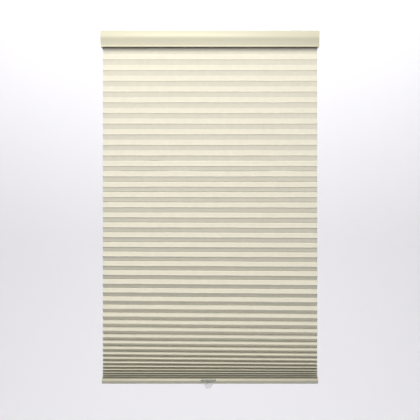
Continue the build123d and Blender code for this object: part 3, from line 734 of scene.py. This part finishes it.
class MakeBottomRail(Step, bpy.types.Operator):
    """Draws the bottom rail: a hollow bar with blunt noses, a slot above and holes for the handle"""

    bl_idname = "blind.bottom_rail"
    bl_label = "Bottom rail"

    def make(self, scene):
        sizes, handle = scene.blind_rails, scene.blind_handle
        cloth = scene.blind_cloth
        top = RAIL_HIGH.z
        slot, channel = sizes.slot / 2, sizes.channel / 2
        lip, floor = top - sizes.wall, top - sizes.wall - sizes.channel_depth
        groove = [
            (slot, top), (slot, lip), (channel, lip), (channel, floor),
            (-channel, floor), (-channel, lip), (-slot, lip), (-slot, top),
        ]
        section = bottom_outline(sizes) + groove
        rail = drawn_bar("bottom_rail_bar", section, RAIL_LOW.x, RAIL_HIGH.x, bottom_room(sizes))
        for side in SIDES.values():
            drill(rail, side * cloth.cord_place, floor, cloth.hole / 2, 3 * sizes.wall, 24)
            x = handle.place + side * handle.lug_spacing / 2
            high = top - handle.lug_drop + handle.lug_height / 2 + FIT
            low = high - handle.lug_height - handle.lug_barb - 2 * FIT
            cut(
                rail,
                block(
                    "slot",
                    (x - handle.lug_width / 2 - FIT, -sizes.nose, low),
                    (x + handle.lug_width / 2 + FIT, handle.lug_reach - sizes.nose, high),
                ),
            )
        soften(rail, sizes.edge)
        finish = powder_coated_aluminium(sizes.paint[:])
        place(rail, finish, "bottom_rail_assembly", "rail_paint", "bottom_rail")


class MakeBottomCaps(Step, bpy.types.Operator):
    """Moulds the bottom rail's two end caps"""

    bl_idname = "blind.bottom_caps"
    bl_label = "Bottom rail end caps"

    def make(self, scene):
        sizes = scene.blind_rails
        end_caps(
            sizes, "moulded_abs_bottom_caps", "bottom_cap", "bottom_rail_assembly", "bottom_rail_end_cap",
            RAIL_HIGH.x, sizes.bottom_cap, sizes.bottom_plug, 0.45 * MM, bottom_outline(sizes),
            bottom_room(sizes, FIT),
        )


class MakeHandle(Step, bpy.types.Operator):
    """Moulds the clear pull handle: a tapered tab with a dished face, a rounded rim and two snap lugs"""

    bl_idname = "blind.handle"
    bl_label = "Pull handle"

    def make(self, scene):
        sizes = scene.blind_handle
        barb, root = 1.4 * MM, 0.5 * MM  # length of a lug's barb, and how deep a lug starts in the tab
        dish_foot = (0.86, 1, 0.79)  # the dish's floor as shares of its mouth
        back = -scene.blind_rails.nose - FIT
        front, top, foot = back - sizes.thickness, HANDLE_HIGH.z, HANDLE_LOW.z
        tab = block(
            "clear_pull_handle",
            (sizes.place - sizes.top_width / 2, front, foot),
            (sizes.place + sizes.top_width / 2, back, top),
        )
        mode("EDIT")
        pick(tab, "faces", lambda f: f.normal.z < -0.9)
        bpy.ops.transform.resize(
            value=(sizes.foot_width / sizes.top_width, 1, 1), center_override=(sizes.place, 0, foot)
        )
        pick(tab, "edges", lambda e: abs((e.verts[0].co - e.verts[1].co).normalized().y) > 0.9)
        bpy.ops.mesh.bevel(offset=sizes.corner, segments=5, affect="EDGES")
        pick(tab, "faces", lambda f: f.normal.y < -0.9)
        bpy.ops.mesh.inset(thickness=sizes.rim)
        extrude((0, sizes.dish, 0))
        bpy.ops.transform.resize(value=dish_foot, center_override=(sizes.place, 0, (top + foot) / 2))
        mode("OBJECT")
        soften(tab, 0.9 * MM, 3, 40)
        lugs = []
        for side in SIDES.values():
            x = sizes.place + side * sizes.lug_spacing / 2
            high = RAIL_HIGH.z - sizes.lug_drop + sizes.lug_height / 2
            end = sizes.lug_reach - scene.blind_rails.nose
            lug = block(
                "lug",
                (x - sizes.lug_width / 2, back - root, high - sizes.lug_height),
                (x + sizes.lug_width / 2, end - barb, high),
            )
            mode("EDIT")
            pick(lug, "faces", lambda f: f.normal.y > 0.9)
            extrude((0, barb, 0))
            pick(lug, "faces", lambda f: f.normal.z < -0.9 and middle(f).y > end - barb)
            extrude((0, 0, -sizes.lug_barb))
            mode("OBJECT")
            soften(lug, 0.15 * MM, 1, 30)
            lugs.append(lug)
        for lug in lugs:
            use(tab, "BOOLEAN", operation="UNION", solver="EXACT", object=lug)
            bpy.data.objects.remove(lug)
        only(tab)
        bpy.ops.object.shade_smooth_by_angle(angle=math.radians(35))
        place(tab, clear_polycarbonate(), "bottom_rail_assembly", "clear_plastic", "pull_handle")


# ---- the cloth ----
WEB_STEPS = np.array([0, 0.2, 0.42, 0.62, 0.78, 0.89, 0.965, 1.0])  # closer together towards the crease
WEB_BEND = 9.0  # how late a web turns out to its crease
GLUE_EDGE = 0.01 * MM  # between the outer walls of two cells at their glue line
COLUMNS, INNER_COLUMNS, HEM = 12.5 * MM, 50 * MM, 1.5 * MM  # spacings of the cloth's corners across the blind
CORD_ROOM = 5 * MM  # how near a lift cord the cloth tucks in, and no ordinary column stands
SAG_START, SAG_FULL, SAG_REST = -0.30, -0.74, -0.762  # heights between which the pleats slope


def web_line(half, sizes, inset):
    """A web from glue line to crease: how far it stands out, its height over the crease, and its share."""
    reach = math.sqrt(max(sizes.web**2 - half**2, 1e-12))
    share = np.linspace(0, 1, 600)
    flare = (1 - sizes.crease) * share + sizes.crease * share**WEB_BEND
    lean = (1 - sizes.crease) + sizes.crease * WEB_BEND * share ** (WEB_BEND - 1)
    out, height = sizes.glue / 2 + reach * flare, half * (1 - share)
    if inset:
        size = np.hypot(half, reach * lean)
        out, height = out - inset * half / size, height - inset * reach * lean / size
        kept = (height >= 0) & (height <= half - sizes.seam)
        out, height, share = out[kept], height[kept], share[kept]
    else:
        height = np.minimum(height, half - GLUE_EDGE)
    at = WEB_STEPS * (len(out) - 1)
    rows = [np.interp(at, np.arange(len(out)), line) for line in (out, height, share)]
    rows[1][-1] = 0.0
    return np.array(rows).T


def cell_ring(half, sizes, inset, whole):
    """Corners round a cell: y, height over its middle, share of the crease, and the joint each belongs to."""
    web = web_line(half, sizes, inset)
    hole = sizes.hole / 2
    below = [(out, -height, share, 1) for out, height, share in web[::-1]]
    above = [(out, height, share, 0) for out, height, share in web[:-1]]
    if whole:
        top, share, joint = web[0][1], 0.0, 0
    else:
        above, top, share, joint = [], -inset, 1.0, 1
    if not whole and inset:
        # the inner wall's crease is a skin below the strip, and it has as many corners as the outer wall
        below = [b for b in below if b[1] < -inset]
        below.insert(0, (below[0][0] + 0.2 * inset, -inset, 1.0, 1))
        below = below[:1] + below[-(len(WEB_STEPS) - 1) :]
    front = above + below
    foot = below[-1][1]
    ring = [(hole, top, share, joint), (-hole, top, share, joint), *((-out, *rest) for out, *rest in front)]
    return np.array([*ring, (-hole, foot, 0.0, 1), (hole, foot, 0.0, 1), *front[::-1]])


class HangCloth(Step, bpy.types.Operator):
    """Hangs the honeycomb cloth: creased cells glued one under another, pulled open by what hangs below"""

    bl_idname = "blind.cloth"
    bl_label = "Honeycomb cloth"

    def make(self, scene):
        sizes = scene.blind_cloth
        chance = random.Random(41)

        def pitch(number):
            load = number / sizes.relaxed
            share = load / (1 + load**sizes.stiffening) ** (1 / sizes.stiffening)
            return sizes.shut_pitch + (sizes.open_pitch - sizes.shut_pitch) * share

        top, width = CLOTH_HIGH.z, CLOTH_HIGH.x - CLOTH_LOW.x
        joints = [top - pitch(sizes.cells + 1) / 2]
        for number in range(sizes.cells, 0, -1):
            joints.append(joints[-1] - pitch(number))

        def waves(amount):
            """Three sine waves of chance height, length (0.09 to 0.45 m) and place, as one function of x."""
            parts = []
            for _ in range(3):
                tall = amount * chance.uniform(0.3, 1)
                rate = 2 * math.pi / chance.uniform(0.09, 0.45)
                parts.append((tall, rate, chance.uniform(0, 6.3)))
            return lambda x: sum(a * np.sin(f * x + p) for a, f, p in parts)

        def ease(value, start, end):
            t = np.clip((value - start) / (end - start), 0, 1)
            return t * t * (3 - 2 * t)

        def slope(x, z):
            drop = ease(z, SAG_START, SAG_FULL) * (1 - ease(z, SAG_REST, joints[-1]))
            return -sizes.slope * x / width * drop

        def still(x):
            return 0 * x

        shares = [pitch(sizes.cells - i) / sizes.open_pitch for i in range(sizes.cells)]
        joint_waves = [waves(0.5 * sizes.ripple * share) for share in shares] + [still]
        cord = sizes.cord_place

        def columns(step, more, reaches):
            """Where a wall's corners stand in x: evenly, and at these reaches beside each cord."""
            evenly = {CLOTH_LOW.x + step * k for k in range(round(width / step) + 1)} | more
            kept = {x for x in evenly if abs(abs(x) - cord) > CORD_ROOM}
            for side in SIDES.values():
                for reach in reaches:
                    kept |= {side * cord - reach, side * cord + reach}
            return np.array(sorted(kept))

        hems = {CLOTH_LOW.x + HEM, CLOTH_HIGH.x - HEM}
        outer_x = columns(COLUMNS, hems, (sizes.hole / 2, 7 * MM))
        inner_x = columns(INNER_COLUMNS, set(), (sizes.hole / 2,))

        verts, faces = [], []

        def skin(ring, xs, z_middle, crest, upper_wave, lower_wave):
            """Adds one wall's corners, column by column, and returns the number of its first."""
            first = sum(len(v) for v in verts)
            x = xs[:, None]
            y, z, share, joint = ring.T
            soft = share**1.5
            edge_wave = np.where(joint < 0.5, upper_wave(x), lower_wave(x))
            side = np.sign(y)
            wander = (1 - soft) * edge_wave + soft * crest["rise"](x)
            out = soft * side * np.where(side < 0, crest["front"](x), crest["back"](x))
            tuck = np.exp(-(((np.abs(x) - cord) / CORD_ROOM) ** 2))
            height = z_middle + z + wander - 0.25 * MM * soft * tuck
            height = height + slope(x, z_middle + z)
            corners = np.stack([x + 0 * y, y + out - 0.2 * MM * side * soft * tuck, height], axis=-1)
            verts.append(corners.reshape(-1, 3))
            return first

        def numbered(first, count):
            """Finds a corner's number by its column and its row."""
            return lambda column, row: first + column * count + row

        def close(first, columns, count, holes, inward):
            """Joins the corners of one wall, leaving out the quads at the cord holes."""
            at = numbered(first, count)
            for i in range(columns - 1):
                for j in range(count):
                    if i not in holes or j not in (0, count // 2):
                        k = (j + 1) % count
                        quad = (at(i, j), at(i, k), at(i + 1, k), at(i + 1, j))
                        faces.append(quad[::-1] if inward else quad)

        for number in range(-1, sizes.cells):
            whole = number >= 0
            upper = joints[number] if whole else top
            lower = joints[number + 1]
            half = (upper - lower) / 2 if whole else upper - lower
            z_middle = (upper + lower) / 2 if whole else top
            amount = sizes.ripple * shares[number] if whole else 0.0
            crest = {"rise": waves(amount), "front": waves(0.8 * amount), "back": waves(0.8 * amount)}
            upper_wave = joint_waves[number] if whole else still
            lower_wave = joint_waves[number + 1]
            walls = []
            for xs, inset in ((outer_x, 0.0), (inner_x, sizes.skin)):
                ring = cell_ring(half, sizes, inset, whole)
                first = skin(ring, xs, z_middle, crest, upper_wave, lower_wave)
                holes = [i for i in range(len(xs) - 1) if abs(abs(xs[i] + xs[i + 1]) / 2 - cord) < MM]
                close(first, len(xs), len(ring), holes, bool(inset))
                walls.append((first, len(xs), len(ring), holes))
            (_, a_cols, count, a_holes), (_, b_cols, _, b_holes) = walls
            a, b = (numbered(wall[0], count) for wall in walls)
            for i, j in ((0, 0), (a_cols - 1, b_cols - 1)):
                for k in range(count):
                    n = (k + 1) % count
                    quad = (a(i, k), b(j, k), b(j, n), a(i, n))
                    faces.append(quad if i == 0 else quad[::-1])
            for i, j in zip(a_holes, b_holes):
                for k in (0, count // 2):
                    corners = [(0, k), (0, k + 1), (1, k + 1), (1, k)]
                    for (c, r), (d, q) in zip(corners, corners[1:] + corners[:1]):
                        faces.append((a(i + c, r), a(i + d, q), b(j + d, q), b(j + c, r)))
        mesh = bpy.data.meshes.new("honeycomb_cloth")
        mesh.from_pydata(np.concatenate(verts).tolist(), [], faces)
        mesh.validate()
        cloth = linked("honeycomb_cloth", mesh)
        only(cloth)
        mode("EDIT")
        bpy.ops.mesh.select_all(action="SELECT")
        bpy.ops.mesh.normals_make_consistent(inside=False)
        mode("OBJECT")
        bpy.ops.object.shade_smooth_by_angle(angle=math.radians(75))
        finish = spunbonded_polyester(sizes.colour[:])
        place(cloth, finish, "headrail_assembly", "fabric", "honeycomb_fabric")
        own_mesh(cloth)


class RunCords(Step, bpy.types.Operator):
    """Runs the two lift cords: a knot, a run up through the cells, and most of a turn on a spool"""

    bl_idname = "blind.cords"
    bl_label = "Lift cords"

    def make(self, scene):
        sizes, cloth = scene.blind_cords, scene.blind_cloth
        finish = braided_polyester_cord()
        knot_drop, knot_size, knot_depth, pulled = 1.8 * MM, 0.33, 1.3, 0.85
        rows_down, turn_steps, knot_steps = 60, 48, 60
        knot_z = ANCHOR_LOW.z - knot_drop
        for name, side in SIDES.items():
            x = side * cloth.cord_place
            drop = sizes.rod_height - knot_z
            rows = [sizes.rod_height - drop * k / rows_down for k in range(rows_down + 1)]
            run = tube(f"lift_cord_run_{name}", [(x, 0, z) for z in rows], sizes.radius)
            place(run, finish, "headrail_assembly", "cord", f"lift_cord_{name}")
            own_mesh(run)
            turns = []
            for a in (sizes.turn * k / turn_steps for k in range(turn_steps + 1)):
                y = sizes.winding - sizes.winding * math.cos(a)
                turns.append((x, y, sizes.rod_height + sizes.winding * math.sin(a)))
            wound = tube(f"lift_cord_wound_{name}", turns, sizes.radius)
            place(wound, finish, "headrail_assembly", "cord")
            # an overhand knot: a trefoil pulled tight
            loop = []
            for a in (2 * math.pi * k / knot_steps for k in range(knot_steps + 1)):
                across, deep = math.sin(a) + 2 * math.sin(2 * a), math.cos(a) - 2 * math.cos(2 * a)
                p = Vector((across, deep, -math.sin(3 * a)))
                loop.append(Vector((x, 0, knot_z)) + Vector((p.x, p.y, knot_depth * p.z)) * knot_size * MM)
            knot = tube(f"lift_cord_knot_{name}", loop, pulled * sizes.radius, 8)
            place(knot, finish, "bottom_rail_assembly", "cord")


class FinishMechanism(Step, bpy.types.Operator):
    """Gives the brackets, spools, spring motor, rod and weight bar their finishes, and the strips a dark tone
    that is painted shade in the gaps at the rails
    """

    bl_idname = "blind.mechanism"
    bl_label = "Brackets and mechanism"

    def make(self, scene):
        plated = {
            "zinc_plated_steel": ("A9AEB2", "D3D6D8", 5 * MM, 0.34, both("mounting_bracket")),
            "zinc_plated_screws": ("A7A59C", "D8D2BC", 1.2 * MM, 0.3, ["motor_cover_screws"]),
        }
        bare = {
            "rolled_steel_bar": ("6E6C69", "8D8A86", 0.45, 40 * MM, 0.8 * MM, "bottom_rail_weight_bar"),
            "tempered_spring_steel": ("7E868E", "B5BBC1", 0.24, 12 * MM, 0.25 * MM, "constant_force_spring"),
            "drawn_aluminium_rod": ("B9BBBD", "DCDDDF", 0.32, 80 * MM, 0.4 * MM, "lift_rod"),
        }
        acetal = [*both("spool_cradle"), "spring_motor_housing", "spring_motor_cover", *both("cord_anchor")]
        strips = ["fabric_top_strip", "fabric_bottom_strip"]
        nylon = [*both("cord_spool"), "spring_output_drum", "spring_storage_drum"]
        plastic = {
            # the strips' dark grey-brown tone 4E4B40 is painted shade: it darkens the gaps between the cloth
            # and the rails, where the strips show
            "extruded_pvc_strip": ("4E4B40", 0.36, 2.5 * MM, 0.02, 1.53, strips),
            "moulded_acetal": ("E9E8E2", 0.4, 1.1 * MM, 0.05, 1.48, acetal),
            "moulded_nylon_spools": ("C9CAC6", 0.38, 1.1 * MM, 0.05, 1.53, nylon),
        }
        for name, (low, high, grain, roughness, nodes) in plated.items():
            coat(plated_steel(name, shade(low), shade(high), grain, roughness), *nodes)
        for name, (low, high, roughness, along, across, node) in bare.items():
            coat(drawn_metal(name, shade(low), shade(high), roughness, along, across), node)
        for name, (tone, roughness, grain, speck, ior, nodes) in plastic.items():
            coat(formed_plastic(name, shade(tone), roughness, grain, 0.02 * MM, speck, IOR=ior), *nodes)


class SetStage(Step, bpy.types.Operator):
    """Sets the plain pale cove, the soft lights and the camera straight in front"""

    bl_idname = "blind.stage"
    bl_label = "Stage, lights and camera"

    def make(self, scene):
        sizes = scene.blind_stage
        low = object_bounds()[0]
        aim = Vector((0, 0, sizes.eye))
        wide, deep, tall, bend, middle_y, wall_y = 12, 7.6, 5.5, 1.2, -0.2, 3.6
        floor_z = low.z - 0.95
        cove = start_piece(
            bpy.ops.mesh.primitive_plane_add, "studio_cove", size=1, location=(0, middle_y, floor_z),
            scale=(wide, deep, 1),
        )

        def at_wall(edge):
            return middle(edge).y > wall_y - 0.1

        def corner(edge):
            return at_wall(edge) and abs(middle(edge).z - floor_z) < 1e-4 and abs(middle(edge).x) < 0.1

        mode("EDIT")
        pick(cove, "edges", at_wall)
        extrude((0, 0, tall))
        pick(cove, "edges", corner)
        bpy.ops.mesh.bevel(offset=bend, segments=24, affect="EDGES")
        mode("OBJECT")
        bpy.ops.object.shade_smooth()
        cove.data.materials.append(painted_studio(sizes.tone[:]))
        cove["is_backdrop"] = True

        for name, energy, tone, size, where, target in (
            ("key_light", sizes.key, "FFFAEC", (1.3, 0.6), (-0.2, -1.3, 0.75), (0, 0, -0.35)),
            ("fill_light", sizes.fill, "FFFFFF", (1.6, 0.5), (0.1, -1.5, 0.2), (0, 0, -0.15)),
            ("back_light", sizes.back, "FFFFFF", (1.6, 0.8), (0.3, 1.6, 1.0), (0, 0, -0.4)),
            ("cove_light", sizes.cove, "FFFFFF", (5.0, 1.0), (0, 1.6, 1.9), (0, 3.6, -1.1)),
        ):
            light = bpy.data.lights.new(name, "AREA")
            light.color = shade(tone)
            light.shape, light.energy = "RECTANGLE", energy
            light.size, light.size_y = size
            lamp = linked(name, light)
            lamp.location = where
            lamp.visible_camera = False
            lamp.rotation_mode = "QUATERNION"
            lamp.rotation_quaternion = (Vector(target) - Vector(where)).to_track_quat("-Z", "Y")

        world = bpy.data.worlds.new("room_light")
        world.use_nodes = True
        backing = world.node_tree.nodes["Background"]
        backing.inputs["Color"].default_value = (*shade("F4F5F8"), 1)
        backing.inputs["Strength"].default_value = sizes.sky
        scene.world = world

        lens = bpy.data.cameras.new("camera")
        lens.sensor_width = 36
        lens.lens = lens.sensor_width * sizes.distance / sizes.view
        camera = linked("camera", lens)
        camera.location = aim + Vector((0, -sizes.distance, 0))
        camera.rotation_euler = (math.radians(90), 0, 0)
        scene.camera = camera
        scene.view_settings.view_transform = "Standard"
        scene.view_settings.look = "None"


class BlindPanel(bpy.types.Panel):
    """The workshop's sizes, colours and steps"""

    bl_idname = "BLIND_PT_workshop"
    bl_label = "Honeycomb blind"
    bl_space_type = "VIEW_3D"
    bl_region_type = "UI"
    bl_category = "Blind"

    def draw(self, context):
        for holder in HOLDERS:
            box = self.layout.box()
            held = getattr(context.scene, holder)
            for key in held.bl_rna.properties.keys():
                if key not in ("rna_type", "name"):
                    box.prop(held, key, text=key.replace("_", " ").capitalize())
        for step in STEPS:
            self.layout.operator(step.bl_idname)


HOLDERS = {
    "blind_rails": RailSizes,
    "blind_cloth": ClothSizes,
    "blind_handle": HandleSizes,
    "blind_cords": CordSizes,
    "blind_stage": StageSettings,
}
STEPS = (
    MakeHeadrail, MakeHeadrailCaps, MakeBottomRail, MakeBottomCaps, MakeHandle,
    HangCloth, RunCords, FinishMechanism, SetStage,
)


def register():
    for cls in (*HOLDERS.values(), *STEPS, BlindPanel):
        bpy.utils.register_class(cls)
    for holder, group in HOLDERS.items():
        setattr(bpy.types.Scene, holder, bpy.props.PointerProperty(type=group))


def unregister():
    for holder in HOLDERS:
        delattr(bpy.types.Scene, holder)
    for cls in (BlindPanel, *reversed(STEPS), *reversed(HOLDERS.values())):
        bpy.utils.unregister_class(cls)


def main():
    register()
    bpy.ops.blind.headrail()
    bpy.ops.blind.headrail_caps()
    bpy.ops.blind.bottom_rail()
    bpy.ops.blind.bottom_caps()
    bpy.ops.blind.handle()
    bpy.ops.blind.cloth()
    bpy.ops.blind.cords()
    bpy.ops.blind.mechanism()
    bpy.ops.blind.stage()


if __name__ == "__main__":
    main()
